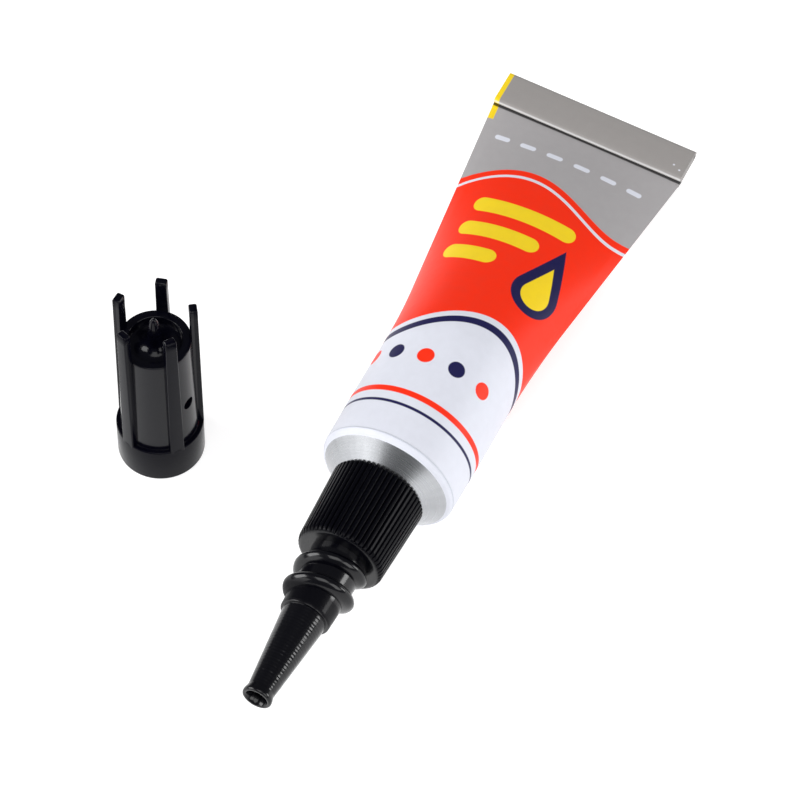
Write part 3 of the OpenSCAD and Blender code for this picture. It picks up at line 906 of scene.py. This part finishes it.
def cut_vent(piece):
    """Drills the vent hole through one side of the cap."""
    sides = 40
    drill_from, drill_to = 1.2, 5.0
    middle = np.array([CAP_X, CAP_Y, VENT_H])
    out = np.array([math.cos(VENT_TURN), math.sin(VENT_TURN), 0])
    aside = np.array([-math.sin(VENT_TURN), math.cos(VENT_TURN), 0])
    above = np.array([0, 0, 1])
    points = []
    for reach in (drill_from, drill_to):
        for turn in np.linspace(0, 2 * math.pi, sides, endpoint=False):
            offset = VENT_R * (math.cos(turn) * aside + math.sin(turn) * above)
            points.append(middle + out * reach + offset)
    faces = skin_faces(2, sides) + [tuple(range(sides - 1, -1, -1)), tuple(range(sides, 2 * sides))]
    mesh = bpy.data.meshes.new("vent_drill")
    mesh.from_pydata((np.array(points) * MM).tolist(), [], faces)
    drill = bpy.data.objects.new("vent_drill", mesh)
    bpy.context.scene.collection.objects.link(drill)
    cut = piece.modifiers.new("vent", "BOOLEAN")
    cut.operation = "DIFFERENCE"
    cut.solver = "EXACT"
    cut.object = drill
    bpy.context.view_layer.update()
    shown = piece.evaluated_get(bpy.context.evaluated_depsgraph_get())
    drilled = bpy.data.meshes.new_from_object(shown)
    piece.modifiers.clear()
    piece.data = drilled
    drilled.set_sharp_from_angle(angle=math.radians(CAP_SHARP))
    bpy.data.objects.remove(drill)


def cap_ribs(material):
    """Ribs up the cap's side that rise above its rim as prongs."""
    bevel = 0.13
    foot_r = COLLAR_R - 0.02
    heights = [COLLAR_H - 0.3, COLLAR_H, 7.0, 10.0, 13.0, RIM_H - 0.5, RIM_H + 1.0, CAP_TOP - 1.0]
    levels = [(height, 0.0) for height in heights]
    levels += [(CAP_TOP - 0.16, 0.0), (CAP_TOP - 0.05, 0.05), (CAP_TOP, 0.15)]
    for i in range(RIBS):
        turn = RIB_TURN + 2 * math.pi * i / RIBS
        out = np.array([math.cos(turn), math.sin(turn), 0])
        aside = np.array([-math.sin(turn), math.cos(turn), 0])
        points = []
        for height, inset in levels:
            half = (RIB_BASE_W + (RIB_TOP_W - RIB_BASE_W) * height / CAP_TOP) / 2 - inset
            lean = (PRONG_R - COLLAR_R) * (height - COLLAR_H) / (CAP_TOP - COLLAR_H)
            outer = foot_r + lean - inset
            inner = outer - RIB_T + 2 * inset
            for sx, sy, start in ((1, 1, 0), (-1, 1, 90), (-1, -1, 180), (1, -1, 270)):
                centre = (sx * (half - bevel), (outer - bevel) if sy > 0 else (inner + bevel))
                for across, reach in arc(centre, bevel, start, start + 90, 4):
                    points.append(np.array([CAP_X, CAP_Y, height]) + out * reach + aside * across)
        faces = rod_faces(len(levels), len(points) // len(levels))
        piece = make_piece(f"cap_rib_{i + 1}", points, faces, material, "cap", sharp=40)
        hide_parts("cap")


# Surroundings


def build_surroundings():
    """White floor, five soft lights and a dim world round them."""
    reach = 4
    below_part = 0.00002
    mesh = bpy.data.meshes.new("floor")
    corners = [(-reach, -reach, 0), (reach, -reach, 0), (reach, reach, 0), (-reach, reach, 0)]
    mesh.from_pydata(corners, [], [(0, 1, 2, 3)])
    mesh.materials.append(studio_floor())
    floor = bpy.data.objects.new("floor", mesh)
    floor.location.z = -below_part
    bpy.context.scene.collection.objects.link(floor)

    world = bpy.data.worlds.new("studio")
    bpy.context.scene.world = world
    world.use_nodes = True
    background = world.node_tree.nodes["Background"].inputs
    background["Color"].default_value = (0.95, 0.97, 1.0, 1.0)
    background["Strength"].default_value = 0.14

    aim = Vector((0.0, 0.0, 0.008))
    for name, place, size, power in LIGHTS:
        light = bpy.data.lights.new(name, "AREA")
        light.shape = "SQUARE"
        light.size = size
        light.energy = power
        lamp = bpy.data.objects.new(name, light)
        lamp.location = place
        lamp.rotation_mode = "QUATERNION"
        lamp.rotation_quaternion = (Vector(place) - aim).to_track_quat("Z", "Y")
        bpy.context.scene.collection.objects.link(lamp)


def build_camera():
    """Camera at the angle and distance that were fitted to the photo."""
    azimuth, elevation, roll = (math.radians(angle) for angle in CAMERA_ANGLES)
    level = math.cos(elevation)
    back = Vector((math.sin(azimuth) * level, -math.cos(azimuth) * level, math.sin(elevation)))
    right = Vector((math.cos(azimuth), math.sin(azimuth), 0))
    above = back.cross(right)
    rolled_right = right * math.cos(roll) + above * math.sin(roll)
    rolled_above = above * math.cos(roll) - right * math.sin(roll)
    lens = bpy.data.cameras.new("photo_camera")
    lens.sensor_width = SENSOR_W
    lens.lens = CAMERA_FOCAL_PX * SENSOR_W / PHOTO_WIDTH_PX
    lens.clip_start = 0.05
    lens.clip_end = 20
    camera = bpy.data.objects.new("photo_camera", lens)
    aim = Vector((SHOULDER_X + AIM_BEHIND_SHOULDER, AXIS_Y + AIM_ASIDE, 0)) * MM
    turn = Matrix((rolled_right, rolled_above, back)).transposed().to_4x4()
    camera.matrix_world = Matrix.Translation(aim + back * CAMERA_DISTANCE) @ turn
    bpy.context.scene.collection.objects.link(camera)
    bpy.context.scene.camera = camera


lacquer = printed_lacquer()
aluminium = satin_aluminium()
nozzle_black = black_nozzle_plastic()
cap_black = black_cap_plastic()
tube_skin(lacquer)
tail_fold(lacquer)
threaded_neck(aluminium)
fluted_skirt(nozzle_black)
slender_spout(nozzle_black)
cap_thread(nozzle_black)
cap_shell(cap_black)
cap_ribs(cap_black)
for node, material in (
    ("adhesive", clear_glue()), ("end_seal", sealing_latex()),
    ("tube_shell", lacquer), ("nozzle", nozzle_black), ("cap", cap_black),
):
    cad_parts[node].data.materials.clear()
    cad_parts[node].data.materials.append(material)
build_surroundings()
build_camera()
bpy.context.scene.view_settings.view_transform = "Standard"
